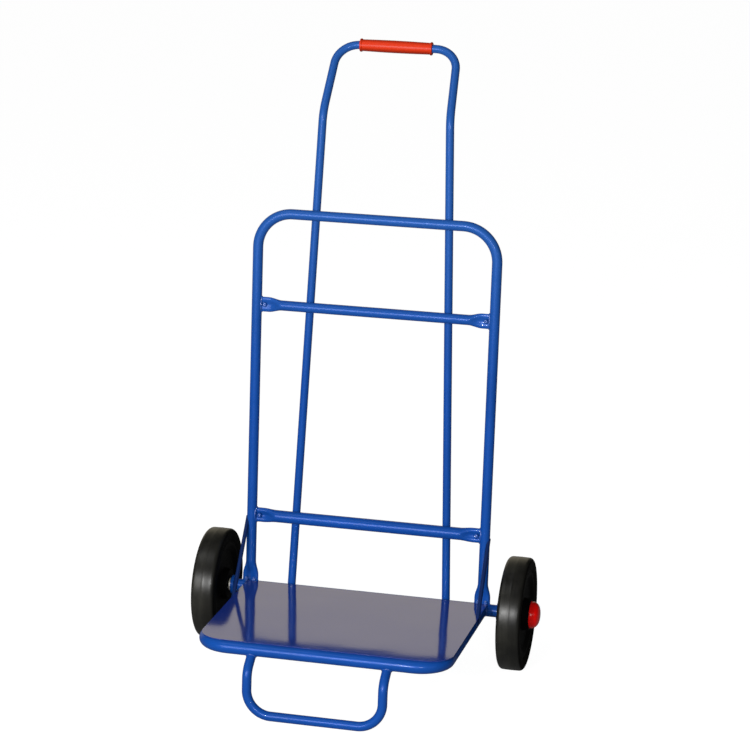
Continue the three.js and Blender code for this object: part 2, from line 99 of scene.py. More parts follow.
class CartHandleSizes(bpy.types.PropertyGroup):
    """The handle loop behind the hoop, and its grip."""
    tube: length("Tube", 0.0144, "Diameter of the handle's tube")
    foot_drop: length("Foot drop", 0.008, "How far the feet reach below the axle's centre")
    foot_spread: length("Foot spread", 0.2838, "Between the legs' centre lines at the axle")
    bend_spread: length("Bend spread", 0.2228, "Between the legs' centre lines at the bend")
    bend_height: length("Bend height", 0.861, "From the axle's centre to the bend")
    bend_angle: FloatProperty(
        name="Bend angle", default=math.radians(35), subtype="ANGLE",
        description="How far the top leans back from the legs",
    )
    bend_radius: length("Bend radius", 0.060, "Centre-line radius of that bend")
    top_reach: length("Top reach", 0.134, "From the bend to the top bar's centre line")
    top_spread: length("Top spread", 0.2112, "Between the corners at the top")
    corner: length("Corner radius", 0.040, "Centre-line radius of the top corners")
    skew: length("Skew", 0.0056, "How far the loop stands to the right at its bend")
    grip_slip: length("Grip slip", 0.0028, "How far the grip has slid to the left")
    grip: length("Grip", 0.0203, "Diameter of the grip's body")
    grip_collar: length("Grip collar", 0.0230, "Diameter of the grip's end collars")
    grip_collar_width: length("Collar width", 0.004, "Width of each end collar")


class CartPlatformSizes(bpy.types.PropertyGroup):
    """The platform's tube and sheet, the braces and the stand."""
    tube: length("Tube", 0.022, "Diameter of the platform's tube")
    depth: length("Depth", 0.3318, "From the axle's centre to the front tube's centre line")
    front_width: length("Front width", 0.416, "Between centre lines at the front corners")
    corner: length("Corner radius", 0.050, "Centre-line radius of the front corners")
    plate: length("Plate", 0.0012, "Thickness of the sheet")
    plate_front: length("Plate front", 0.001, "Sheet past the front tube's centre line")
    plate_side: length("Plate side", 0.0078, "Sheet past the side tubes' centre lines")
    plate_shift: length("Plate shift", 0.0028, "How far the sheet sits to the right")
    plate_corner: length("Plate corner", 0.043, "Radius of the sheet's front corners")
    brace: length("Brace", 0.0072, "Diameter of the brace rods")
    brace_top: length("Brace top", 0.131, "Height of the braces' top ends")
    brace_top_outset: length("Brace top outset", 0.0068, "Top end outside the hoop's centre line")
    brace_foot: length("Brace foot", 0.089, "Brace foot in front of the axle")
    brace_foot_outset: length("Brace foot outset", 0.0085, "Foot outside the side tube's centre line")
    stand_tube: length("Stand tube", 0.016, "Diameter of the stand's tube")
    stand_width: length("Stand width", 0.2314, "Between the stand's legs")
    stand_forward: length("Stand forward", 0.359, "Stand's bottom bar in front of the axle")
    stand_drop: length("Stand drop", 0.1036, "Stand's bottom bar below the axle")
    stand_bend_drop: length("Stand bend", 0.029, "Where the legs turn back, below the tubes")
    stand_end_forward: length("Leg end forward", 0.328, "Where the legs end, under the front tube")
    stand_end_drop: length("Leg end drop", 0.006, "Where the legs end, below the tubes' centres")
    stand_bend: length("Stand bend radius", 0.027, "Centre-line radius where the legs turn back")
    stand_corner: length("Stand corner radius", 0.042, "Centre-line radius of the lower corners")


class CartWheelSizes(bpy.types.PropertyGroup):
    """The tyres, the wheel bodies and what is turned to fit them."""
    shoulder: length("Shoulder", 0.007, "Radius from tread to side wall")
    dish: length("Side wall dish", 0.0025, "How far the side wall stands back at the rim")
    mould_line: length("Mould line", 0.0004, "Height of the line round the tread")
    rim: length("Rim seat", 0.146, "Diameter where the tyre sits")
    lip: length("Rim lip", 0.004, "Depth of the lip that holds the tyre")
    lip_width: length("Rim lip width", 0.003, "Width of that lip")
    web: length("Web", 0.026, "Thickness of the wheel's disc")
    dish_taper: length("Dish taper", 0.009, "Run of the slope from the disc out to the lips")
    boss: length("Boss", 0.054, "Diameter of the boss")
    recess: length("Recess", 0.044, "Diameter of the boss's recess")
    recess_depth: length("Recess depth", 0.006, "Depth of that recess")
    bore: length("Bore", 0.0183, "Diameter of the boss's bore")
    cap_height: length("Cap height", 0.0178, "How far the hub cap stands out of the boss")
    cap_wall: length("Cap wall", 0.0016, "Thickness of the hub cap's dome")
    axle_bore: length("Axle bore", 0.0126, "Bore of what runs or sits on the axle")
    flange: length("Bush flange", 0.002, "Thickness of the bushes' flanges")
    fit: length("Fit", 0.0003, "Gap between moulded pieces that are pressed together")


class CartFinish(bpy.types.PropertyGroup):
    """Weld sizes and the colours of the finishes."""
    weld: length("Weld bead", 0.0015, "Radius of a weld bead")
    weld_pitch: length("Weld pitch", 0.0030, "Between two ripples of a weld bead")
    tube_sides: IntProperty(name="Tube sides", default=40, min=8, max=96, description="Round a tube")
    enamel: colour("Enamel", (0.007, 0.072, 0.360), "Blue enamel of the tubes")
    # Painted highlight: the paler blue that the enamel turns to higher up stands in for light reflected
    # onto the upper tubes from above.
    painted_top_light: colour("Faded", (0.018, 0.096, 0.370), "The enamel where the sun has paled it, higher up")
    rod: colour("Rods", (0.006, 0.020, 0.095), "Thin, darker enamel of the brace rods")
    sheet: colour("Sheet", (0.014, 0.036, 0.240), "Darker enamel of the platform's sheet")
    rubber: colour("Rubber", (0.005, 0.005, 0.0045), "Solid rubber of the tyres")
    dust: colour("Dust", (0.034, 0.033, 0.027), "Dust on the treads")
    rim: colour("Wheel body", (0.0025, 0.0025, 0.0025), "Moulded wheel bodies")
    grip: colour("Grip", (0.66, 0.036, 0.007), "Soft plastic grip")
    cap: colour("Hub cap", (0.94, 0.004, 0.003), "Glossy hub caps")
    steel: colour("Steel", (0.56, 0.56, 0.54), "Zinc-plated steel")
    nylon: colour("Nylon", (0.66, 0.64, 0.56), "Nylon bushes")


GROUPS = {
    "cart_hoop": CartHoopSizes,
    "cart_handle": CartHandleSizes,
    "cart_platform": CartPlatformSizes,
    "cart_wheels": CartWheelSizes,
    "cart_finish": CartFinish,
}


def sizes(group):
    return getattr(bpy.context.scene, "cart_" + group)


# Node trees

class Wire:
    """A socket of a node tree. Sums and products of wires add Math nodes to the tree."""

    def __init__(self, graph, socket):
        self.graph = graph
        self.socket = socket

    def other(self, name):
        """Another output of the same node."""
        return Wire(self.graph, self.socket.node.outputs[name])

    def math(self, operation, *values):
        sockets = dict(enumerate((self, *values)))
        return self.graph.node("ShaderNodeMath", sockets, operation=operation)

    def __add__(self, value):
        return self.math("ADD", value)

    def __sub__(self, value):
        return self.math("SUBTRACT", value)

    def __rsub__(self, value):
        return (self * -1) + value

    def __mul__(self, value):
        return self.math("MULTIPLY", value)

    def __truediv__(self, value):
        return self.math("DIVIDE", value)

    def __pow__(self, value):
        return self.math("POWER", value)


class Graph:
    """A node tree: one method adds any node, and the others add the kinds that recur."""

    def __init__(self, tree):
        self.tree = tree

    def node(self, kind, sockets=None, output=0, **settings):
        node = self.tree.nodes.new(kind)
        for name, value in settings.items():
            setattr(node, name, value)
        for name, value in (sockets or {}).items():
            if isinstance(value, Wire):
                self.tree.links.new(value.socket, node.inputs[name])
            else:
                node.inputs[name].default_value = value
        return Wire(self, node.outputs[output]) if node.outputs else None

    def range(self, value, from_low, from_high, to_low=0.0, to_high=1.0, smooth=False):
        sockets = {0: value, 1: from_low, 2: from_high, 3: to_low, 4: to_high}
        kind = "SMOOTHSTEP" if smooth else "LINEAR"
        return self.node("ShaderNodeMapRange", sockets, interpolation_type=kind)

    def noise(self, place, scale, detail=2.0, roughness=0.5):
        return self.node("ShaderNodeTexNoise", {
            "Vector": place, "Scale": scale, "Detail": detail, "Roughness": roughness,
        })

    def stretched(self, place, scale, turn=0.0):
        return self.node("ShaderNodeMapping", {
            "Vector": place, "Rotation": (0.0, 0.0, turn), "Scale": scale,
        })

    def axes(self, vector):
        x = self.node("ShaderNodeSeparateXYZ", {0: vector})
        return x, x.other("Y"), x.other("Z")

    def mix(self, share, first, second):
        return self.node("ShaderNodeMix", {0: share, 6: first, 7: second}, 2, data_type="RGBA")

    def vector(self, operation, sockets, output=0):
        return self.node("ShaderNodeVectorMath", sockets, output, operation=operation)


# Finishes

def tint(name, shade=1.0, lift=0.0):
    """A colour of the finish group, at a share of its strength and lifted by a little grey."""
    return (*(part * shade + lift for part in getattr(sizes("finish"), name)), 1.0)


def cloudy(graph, cloud, name, shade):
    """A colour with darker patches where a noise is low."""
    return graph.mix(graph.range(cloud, 0.35, 0.65), tint(name, shade), tint(name))


def close_finish(graph, sockets, height, strength, distance):
    """The last nodes of a finish: the bump of a height, the surface and the output."""
    bump = {"Strength": strength, "Distance": distance, "Height": height}
    sockets["Normal"] = graph.node("ShaderNodeBump", bump)
    surface = graph.node("ShaderNodeBsdfPrincipled", sockets)
    graph.node("ShaderNodeOutputMaterial", {"Surface": surface})


def enamel_finish(graph, place, base, specular=0.10, coat=0.11):
    """Enamel with a faint orange peel, a little unevenness in its gloss and a painted highlight that
    pales it higher up.
    """
    patches = graph.noise(place, 9.0, 3.0)
    peel = graph.noise(place, 260.0, 2.0)
    runs = graph.noise(place, 38.0, 3.0)
    high = graph.axes(place)[2]
    # Painted highlight: from half a metre up to 0.9 m high the enamel turns towards the paler blue, as
    # if lit more from above.
    paled = graph.range(high + patches * 0.1, 0.50, 0.90, smooth=True)
    close_finish(graph, {
        "Base Color": graph.mix(paled, cloudy(graph, patches, base, 0.86), tint("painted_top_light")),
        "Roughness": graph.range(runs, 0.3, 0.7, 0.28, 0.40),
        "Metallic": 0.08,
        "Specular IOR Level": specular,
        "Coat Weight": coat,
        "Coat Roughness": 0.07,
    }, peel * 0.4 + runs * 2.0, 0.14, 0.0004)


def sheet_finish(graph, place):
    """Dark glossy enamel on the sheet: slightly wavy, with fine rub marks from loads."""
    rubs = graph.noise(graph.stretched(place, (3.0, 60.0, 3.0), 0.5), 9.0, 5.0, 0.7)
    scuffs = graph.noise(graph.stretched(place, (70.0, 4.0, 3.0), -0.9), 7.0, 4.0, 0.65)
    waves = graph.noise(place, 7.0, 1.0)
    peel = graph.noise(place, 230.0, 2.0)
    worn = graph.range(rubs * scuffs, 0.30, 0.42)
    close_finish(graph, {
        "Base Color": graph.mix(worn * 0.35, tint("sheet"), tint("sheet", 0.6, 0.02)),
        "Roughness": graph.range(rubs, 0.35, 0.75, 0.065, 0.13),
        "Specular IOR Level": 0.5,
    }, peel * 0.35 + waves * 14.0, 0.12, 0.0006)


def rubber_finish(graph, place):
    """Solid rubber: a tread with dust and a faint shine, and dark walls; painted shade makes the right
    half of each tread duller.
    """
    low, high, crown = piece_box("tyre_right")
    centre = axle_centre()
    across, back, up = graph.axes(place)
    rise, run = up - centre.z, back - centre.y
    radius = (rise * rise + run * run) ** 0.5
    tread = graph.range(radius, crown * 0.954, crown * 0.996, smooth=True)
    grain = graph.noise(place, 620.0, 3.0, 0.7)
    blotches = graph.noise(place, 21.0, 5.0, 0.65)
    streaks = graph.noise(graph.stretched(place, (320.0, 9.0, 9.0)), 1.4, 4.0, 0.6)
    beside = (across.math("ABSOLUTE") - (low.x + high.x) / 2) * across.math("SIGN")
    # Painted shade: on the right half of each tread the dust colour falls to 0.4 and the coat a little,
    # as if that half were turned away from light from the left.
    painted_left_light = graph.range(beside, -0.004, 0.010, 1.0, 0.4, smooth=True)
    dust_and_shade = graph.range(blotches * 0.8 + streaks * 0.2, 0.36, 0.62) * tread * painted_left_light
    shine = graph.range(blotches, 0.3, 0.7, 0.68, 0.42) * tread * (painted_left_light * 0.3 + 0.7)
    close_finish(graph, {
        "Base Color": graph.mix(dust_and_shade * 0.75, tint("rubber"), tint("dust")),
        "Roughness": graph.range(blotches, 0.3, 0.7, 0.75, 0.9),
        "Specular IOR Level": 0.03,
        "Coat Weight": shine,
        "Coat Roughness": 0.3,
    }, grain + streaks, 0.2, 0.0004)


def moulded_finish(graph, place, base, rough, grain, depth, shine, metal=0.0):
    """Moulded plastic or plated metal with a fine grain and a little variation."""
    cloud = graph.noise(place, 30.0, 3.0)
    pits = graph.noise(place, grain, 3.0, 0.6)
    close_finish(graph, {
        "Base Color": cloudy(graph, cloud, base, 0.9),
        "Roughness": graph.range(pits, 0.3, 0.7, *rough),
        "Metallic": metal,
        "Specular IOR Level": shine,
    }, pits, depth, 0.0003)


def grip_finish(graph, place):
    """Soft plastic with painted shade: darker above and below than along its middle, where the light
    falls.
    """
    low, high, radius = piece_box("handle_grip")
    rise = graph.axes(place)[2] - (low.z + high.z) / 2
    edge = (rise - radius * 0.20).math("ABSOLUTE") * (1 / radius)
    cloud = graph.noise(place, 30.0, 3.0)
    # Painted shade: the grip is drawn darker, down to 0.55 of its colour, away from a line a little
    # above its middle.
    dark = graph.range(edge + cloud * 0.2, 0.45, 0.95)
    close_finish(graph, {
        "Base Color": graph.mix(dark, tint("grip"), tint("grip", 0.55)),
        "Roughness": graph.range(cloud, 0.3, 0.7, 0.30, 0.38),
        "Specular IOR Level": 0.15,
    }, cloud, 0.05, 0.0003)


def floor_finish(graph, place):
    """Pale floor that stays near white, keeps a soft shadow and is dim where reflections look."""
    across, back, _ = graph.axes(place)
    beside = graph.range(across, 0.5, 1.4, 1.0, 0.2)
    reflected = graph.range(back, 0.3, 1.6, 0.12, 0.5) * beside
    ray = graph.node("ShaderNodeLightPath", output="Is Camera Ray")
    shown = ray.math("MAXIMUM", ray.other("Is Transmission Ray")) * 0.955
    shown = shown.math("MAXIMUM", ray.other("Is Glossy Ray") * reflected)
    paper = graph.node("ShaderNodeBsdfDiffuse", {"Color": (0.20, 0.20, 0.20, 1)})
    glow = graph.node("ShaderNodeEmission", {"Color": (1, 1, 1, 1), "Strength": shown})
    both = graph.node("ShaderNodeAddShader", {0: paper, 1: glow})
    graph.node("ShaderNodeOutputMaterial", {"Surface": both})


FINISH_MAKERS = {
    "enamel": ("blue_enamel", enamel_finish, {"base": "enamel"}),
    "rod": ("rod_enamel", enamel_finish, {"base": "rod"}),
    "weld": ("weld_enamel", enamel_finish, {"base": "enamel", "specular": 0.6, "coat": 0.8}),
    "sheet": ("sheet_enamel", sheet_finish, {}),
    "tyre": ("tyre_rubber", rubber_finish, {}),
    "grip": ("grip_plastic", grip_finish, {}),
    "floor": ("pale_floor", floor_finish, {}),
    "rim": ("wheel_plastic", moulded_finish, {
        "base": "rim", "rough": (0.60, 0.75), "grain": 500.0, "depth": 0.2, "shine": 0.02,
    }),
    "cap": ("cap_plastic", moulded_finish, {
        "base": "cap", "rough": (0.18, 0.26), "grain": 180.0, "depth": 0.06, "shine": 0.22,
    }),
    "steel": ("zinc_steel", moulded_finish, {
        "base": "steel", "rough": (0.24, 0.40), "grain": 700.0, "depth": 0.15, "shine": 0.4,
        "metal": 1.0,
    }),
    "nylon": ("nylon", moulded_finish, {
        "base": "nylon", "rough": (0.40, 0.50), "grain": 300.0, "depth": 0.1, "shine": 0.4,
    }),
}
FINISHES = {}


def finish(name):
    if name not in FINISHES:
        title, maker, values = FINISH_MAKERS[name]
        material = bpy.data.materials.new(title)
        material.use_nodes = True
        material.node_tree.nodes.clear()
        graph = Graph(material.node_tree)
        maker(graph, graph.node("ShaderNodeTexCoord", output="Object"), **values)
        FINISHES[name] = material
    return FINISHES[name]


# Places, in the frame's own axes: X to the side, Y to the rear, Z along the hoop, from the axle

# Shares of the handle's skew at its feet and at its top
FOOT_SKEW, TOP_SKEW = 0.25, 0.93


def piece_box(node):
    """The low and high corners of a frame node's box, and half its height."""
    low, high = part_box(node)
    return low, high, (high.z - low.z) / 2


def axle_centre():
    low, high, _ = piece_box("axle_rod")
    return (low + high) / 2


def axle_tube_radius():
    return piece_box("axle_tube")[2]


def seat_gap():
    """What the frame leaves between two pieces that are joined."""
    return piece_box("axle_collar_right")[0].x - piece_box("axle_tube")[1].x


def frame_matrix():
    """Leans the frame back as far as it goes when the cart rests on its wheels and its stand."""
    p = sizes("platform")
    reach = math.hypot(p.stand_forward, p.stand_drop)
    rise = axle_centre().z - p.stand_tube / 2
    lean = math.atan2(p.stand_drop, p.stand_forward) - math.asin(rise / reach)
    return Matrix.Translation(axle_centre()) @ Matrix.Rotation(-lean, 4, "X")


def vectors(*places):
    return [Vector(place) for place in places]


def rounded(corners, radii, steps=24):
    """Points along straight lengths, with each inner corner rounded to its radius."""
    points = [corners[0]]
    for before, corner, after, radius in zip(corners, corners[1:], corners[2:], radii):
        into = (corner - before).normalized()
        out = (after - corner).normalized()
        turn = into.angle(out)
        axis = into.cross(out).normalized()
        start = corner - into * (radius * math.tan(turn / 2))
        centre = start + axis.cross(into) * radius
        for k in range(steps + 1):
            points.append(centre + Matrix.Rotation(turn * k / steps, 3, axis) @ (start - centre))
    points.append(corners[-1])
    return points


def with_steps(points, reach, step=0.002):
    """Extra points over the first and last stretch of a path, where its section changes."""
    def stretch(end, toward):
        along = (toward - end).normalized()
        return [end + along * (k * step) for k in range(1, int(reach / step) + 1)]
    head = stretch(points[0], points[1])
    tail = stretch(points[-1], points[-2])
    return [points[0], *head, *points[1:-1], *reversed(tail), points[-1]]


def hoop_path():
    """The hoop. Its feet end just inside the round of the axle tube's top."""
    h = sizes("hoop")
    side, foot = h.width / 2, axle_tube_radius() * 0.97
    corners = vectors((-side, 0, foot), (-side, 0, h.height), (side, 0, h.height), (side, 0, foot))
    return with_steps(rounded(corners, [h.corner, h.corner]), h.foot_length * 1.2)


def bar_path(height):
    h = sizes("hoop")
    ends = vectors((-h.width / 2, 0, height), (h.width / 2, 0, height))
    return with_steps(ends, h.bar_end_length * 1.1)


def handle_leg(side):
    """Foot, bend and top corner of one leg of the handle."""
    g, h = sizes("handle"), sizes("hoop")
    foot_back = axle_tube_radius() + g.tube / 2 + seat_gap()
    top_back = (h.tube + g.tube) / 2 + seat_gap()
    lean = (top_back - foot_back) / h.height
    splay = (g.foot_spread - g.bend_spread) / g.bend_height
    foot = Vector((
        side * (g.foot_spread + splay * g.foot_drop) / 2 + g.skew * FOOT_SKEW,
        foot_back - g.foot_drop * lean,
        -g.foot_drop,
    ))
    bend = Vector((side * g.bend_spread / 2 + g.skew, foot_back + g.bend_height * lean, g.bend_height))
    top = Vector((
        side * g.top_spread / 2 + g.skew * TOP_SKEW,
        bend.y + g.top_reach * math.sin(g.bend_angle),
        bend.z + g.top_reach * math.cos(g.bend_angle),
    ))
    return foot, bend, top


def handle_path():
    g = sizes("handle")
    corners = [*handle_leg(-1), *reversed(handle_leg(1))]
    return rounded(corners, [g.bend_radius, g.corner, g.corner, g.bend_radius])


def platform_side(side, forward):
    """A point on the centre line of a platform's side tube."""
    p, h = sizes("platform"), sizes("hoop")
    taper = (p.front_width - h.width) / 2
    return Vector((side * (h.width / 2 + taper * forward / p.depth), -forward, 0))


def platform_path():
    p = sizes("platform")
    side, front = sizes("hoop").width / 2, p.front_width / 2
    corners = vectors((-side, 0, 0), (-front, -p.depth, 0), (front, -p.depth, 0), (side, 0, 0))
    return rounded(corners, [p.corner, p.corner])


def brace_path(side):
    p, h = sizes("platform"), sizes("hoop")
    top = Vector((side * (h.width / 2 + p.brace_top_outset), 0, p.brace_top))
    return [top, platform_side(side, p.brace_foot) + X * side * p.brace_foot_outset]


def stand_leg(side):
    """Upper end, bend and lower corner of one leg of the stand."""
    p = sizes("platform")
    x = side * p.stand_width / 2
    return vectors(
        (x, -p.stand_end_forward, -p.stand_end_drop),
        (x, -p.stand_forward, -p.stand_bend_drop),
        (x, -p.stand_forward, -p.stand_drop),
    )


def stand_path():
    p = sizes("platform")
    corners = [*stand_leg(-1), *reversed(stand_leg(1))]
    return rounded(corners, [p.stand_bend, p.stand_corner, p.stand_corner, p.stand_bend])


# Making and placing meshes

def add_object(name, data):
    thing = bpy.data.objects.new(name, data)
    bpy.context.scene.collection.objects.link(thing)
    return thing


def baked(carrier):
    """The plain mesh of a carrier with its modifiers. The carrier is then removed."""
    depsgraph = bpy.context.evaluated_depsgraph_get()
    depsgraph.update()
    mesh = bpy.data.meshes.new_from_object(carrier.evaluated_get(depsgraph), depsgraph=depsgraph)
    bpy.data.objects.remove(carrier)
    return mesh


def run_tree(points, tree, values, closed=False):
    """The mesh that a node tree makes of a path, which it gets as a mesh of edges."""
    count = len(points)
    edges = [(k, (k + 1) % count) for k in range(count if closed else count - 1)]
    path = bpy.data.meshes.new("path")
    path.from_pydata(points, edges, [])
    carrier = add_object("path", path)
    modifier = carrier.modifiers.new(tree.name, "NODES")
    modifier.node_group = tree
    for item in tree.interface.items_tree:
        if item.in_out == "INPUT" and item.name in values:
            modifier[item.identifier] = values[item.name]
    return baked(carrier)


def joined(meshes, merge=0.0):
    """One mesh of several, with faces turned outwards and points within merge made one."""
    whole = bmesh.new()
    for mesh in meshes:
        whole.from_mesh(mesh)
    if merge:
        bmesh.ops.remove_doubles(whole, verts=whole.verts, dist=merge)
    bmesh.ops.recalc_face_normals(whole, faces=whole.faces)
    result = bpy.data.meshes.new("joined")
    whole.to_mesh(result)
    whole.free()
    return result


def place_piece(name, mesh, finish_name, nodes=(), body="cart_frame", leaning=True, crease=35):
    """A finished piece: its place goes into its mesh, and it rides on its body."""
    if leaning:
        mesh.transform(frame_matrix())
    mesh.polygons.foreach_set("use_smooth", [True] * len(mesh.polygons))
    mesh.set_sharp_from_angle(angle=math.radians(crease))
    mesh.materials.clear()
    mesh.materials.append(finish(finish_name))
    piece = add_object(name, mesh)
    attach(piece, body)
    if nodes:
        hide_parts(*nodes)


def tree_with(name, inputs):
    """A new geometry tree, its graph and what reads an input of the tree by name."""
    tree = bpy.data.node_groups.new(name, "GeometryNodeTree")
    tree.interface.new_socket("Geometry", in_out="INPUT", socket_type="NodeSocketGeometry")
    for title, kind in inputs.items():
        tree.interface.new_socket(title, in_out="INPUT", socket_type="NodeSocket" + kind)
    tree.interface.new_socket("Geometry", in_out="OUTPUT", socket_type="NodeSocketGeometry")
    graph = Graph(tree)
    return tree, graph, graph.node("NodeGroupInput").other


def end_tree(graph, geometry, names, material):
    for name in names:
        geometry = graph.node("GeometryNodeRemoveAttribute", {"Geometry": geometry, "Name": name})
    geometry = graph.node("GeometryNodeRealizeInstances", {"Geometry": geometry})
    geometry = graph.node("GeometryNodeSetMaterial", {"Geometry": geometry, "Material": material})
    graph.node("NodeGroupOutput", {"Geometry": geometry})


def tube_tree():
    """Sweeps a round section along a path and crushes its two ends.

    A crushed end is wide one way and thin the other, and its walls meet in a crease between two
    rolled edges.
    """
    name = "Bent tube"
    if name in bpy.data.node_groups:
        return bpy.data.node_groups[name]
    tree, graph, given = tree_with(name, {
        "Radius": "Float", "Sides": "Int", "End Length": "Float", "End Flat": "Float",
        "End Width": "Float", "End Thickness": "Float", "Crease": "Float",
        "Wide": "Vector", "Thin": "Vector", "Material": "Material",
    })
    radius = given("Radius")
    position = graph.node("GeometryNodeInputPosition")
    along = graph.node("GeometryNodeSplineParameter", output="Length")
    left = graph.node("GeometryNodeSplineLength", output="Length") - along
    kept = {"centre": ("FLOAT_VECTOR", position), "along": ("FLOAT", along), "left": ("FLOAT", left)}
    curve = graph.node("GeometryNodeMeshToCurve", {"Mesh": given("Geometry")})
    recalled = {}
    for title, (kind, value) in kept.items():
        stored = {"Geometry": curve, "Name": title, "Value": value}
        curve = graph.node("GeometryNodeStoreNamedAttribute", stored, data_type=kind, domain="POINT")
        recalled[title] = graph.node("GeometryNodeInputNamedAttribute", {"Name": title}, data_type=kind)
    section = graph.node("GeometryNodeCurvePrimitiveCircle", {
        "Resolution": given("Sides"), "Radius": radius,
    })
    tube = graph.node("GeometryNodeCurveToMesh", {
        "Curve": curve, "Profile Curve": section, "Fill Caps": True,
    })
    near = recalled["along"].math("MINIMUM", recalled["left"])
    share = graph.range(near, given("End Length"), given("End Flat"), smooth=True)
    offset = graph.vector("SUBTRACT", {0: position, 1: recalled["centre"]})
    wide = graph.vector("DOT_PRODUCT", {0: offset, 1: given("Wide")}, "Value")
    thin = graph.vector("DOT_PRODUCT", {0: offset, 1: given("Thin")}, "Value")
    ratio = wide / radius
    bulge = (1 - ratio * ratio) ** 4.0
    crease = 1 - share * given("Crease") * bulge
    widened = share * (given("End Width") / (radius * 2) - 1)
    thinned = (share * (given("End Thickness") / (radius * 2) - 1) + 1) * crease - 1
    shift = graph.vector("ADD", {
        0: graph.vector("SCALE", {0: given("Wide"), "Scale": wide * widened}),
        1: graph.vector("SCALE", {0: given("Thin"), "Scale": thin * thinned}),
    })
    tube = graph.node("GeometryNodeSetPosition", {"Geometry": tube, "Offset": shift})
    end_tree(graph, tube, kept, given("Material"))
    return tree


def bead_tree():
    """Lays a rippled weld bead along a path: overlapping drops, drawn as one swept tube."""
    name = "Weld bead"
    if name in bpy.data.node_groups:
        return bpy.data.node_groups[name]
    tree, graph, given = tree_with(name, {
        "Radius": "Float", "Pitch": "Float", "Ripple": "Float", "Material": "Material",
    })
    curve = graph.node("GeometryNodeMeshToCurve", {"Mesh": given("Geometry")})
    total = graph.node("GeometryNodeSplineLength", output="Length")
    ripples = (total / given("Pitch")).math("ROUND")
    curve = graph.node("GeometryNodeResampleCurve", {
        "Curve": curve, "Length": given("Pitch") / 6,
    }, mode="LENGTH")
    factor = graph.node("GeometryNodeSplineParameter", output="Factor")
    wave = (factor * ripples * (2 * math.pi)).math("SINE")
    swell = (wave.math("ABSOLUTE") * -1 + 1) * given("Ripple") + 1
    lump = graph.noise(graph.node("GeometryNodeInputPosition"), 260.0, 1.0)
    width = swell * (lump * 0.5 + 0.75) * given("Radius")
    section = graph.node("GeometryNodeCurvePrimitiveCircle", {"Resolution": 10, "Radius": 1.0})
    bead = graph.node("GeometryNodeCurveToMesh", {
        "Curve": curve, "Profile Curve": section, "Scale": width, "Fill Caps": True,
    })
    end_tree(graph, bead, (), given("Material"))
    return tree


def tube_mesh(points, diameter, end=None):
    """A tube along points. end gives its crushed ends: length, flat, width, thickness, directions.

    Without end, the ends stay as wide as the tube.
    """
    end_length, flat, width, thickness, wide, thin = end or (0.0002, 0.0001, diameter, diameter, X, Y)
    return run_tree(points, tube_tree(), {
        "Radius": diameter / 2,
        "Sides": sizes("finish").tube_sides,
        "End Length": end_length,
        "End Flat": flat,
        "End Width": width,
        "End Thickness": thickness,
        "Crease": 0.85 if end else 0.0,
        "Wide": wide,
        "Thin": thin,
        "Material": finish("enamel"),
    })


def bead_mesh(points, scale):
    look = sizes("finish")
    return run_tree(points, bead_tree(), {
        "Radius": look.weld * scale,
        "Pitch": look.weld_pitch,
        "Ripple": 0.16,
        "Material": finish("weld"),
    }, closed=True)


def round_angles(count):
    return [2 * math.pi * k / count for k in range(count)]


def turned(outline, segments, about=None, place=0.0):
    """Turns a closed outline of (along, radius) pairs round an axis along X, or round the axle."""
    y0, z0 = about or axle_centre().yz
    verts = [
        (place + along, y0 + radius * math.cos(angle), z0 + radius * math.sin(angle))
        for angle in round_angles(segments) for along, radius in outline
    ]
    count = len(outline)
    faces = []
    for k in range(segments):
        here, there = k * count, (k + 1) % segments * count
        for i in range(count):
            j = (i + 1) % count
            faces.append((here + i, here + j, there + j, there + i))
    mesh = bpy.data.meshes.new("turned")
    mesh.from_pydata(verts, [], faces)
    return joined([mesh], merge=1e-6)


def place_turned(name, outline, segments, finish_name, node, body="cart_frame", place=0.0):
    """A finished piece that is turned round the axle, so it doesn't lean with the frame."""
    mesh = turned(outline, segments, place=place)
    place_piece(name, mesh, finish_name, [node], body, leaning=False)


def arc(centre, radius, start, stop, steps):
    """Points of an arc, from one angle to another, in degrees."""
    angles = [math.radians(start + (stop - start) * k / steps) for k in range(steps + 1)]
    return [(centre[0] + radius * math.cos(a), centre[1] + radius * math.sin(a)) for a in angles]


def mirrored(outline):
    """The other half of an outline, from its middle back to its start."""
    return [(-along, radius) for along, radius in reversed(outline)]


def eased(outline, ease):
    """An outline with each of its corners cut by a small two-point chamfer."""
    result = []
    for k, corner in enumerate(outline):
        here = Vector(corner)
        for other in (outline[k - 1], outline[(k + 1) % len(outline)]):
            step = Vector(other) - here
            result.append(tuple(here + step.normalized() * min(ease, step.length * 0.4)))
    return result


def ring_outline(start, end, outer, inner, ease):
    return eased([(start, inner), (start, outer), (end, outer), (end, inner)], ease)


# Welds

# How wide a seam, a tack on a crushed end and a bead beside a handle leg are against the usual bead
SEAM, TACK, LEG_BEAD = 1.0, 1.5, 0.8


def oval_path(centre, first, second, count=24):
    """Points round an oval with the given half axes."""
    return [centre + first * math.cos(a) + second * math.sin(a) for a in round_angles(count)]


def weld_path(origin, along, first, second, main_point, main_axis, main_radius):
    """The line where a branch tube meets a main tube.

    first and second are the branch section's half axes. along points from the main tube into the
    branch. A point beyond the main tube's width stays on the plane of its axis.
    """
    step = along - main_axis * along.dot(main_axis)
    a = step.dot(step)
    points = []
    for start in oval_path(origin, first, second, 48):
        away = start - main_point
        away -= main_axis * away.dot(main_axis)
        b = away.dot(step)
        c = away.dot(away) - main_radius ** 2
        root = math.sqrt(max(b * b - a * c, 0.0))
        points.append(start + along * ((root - b) / a))
    return points


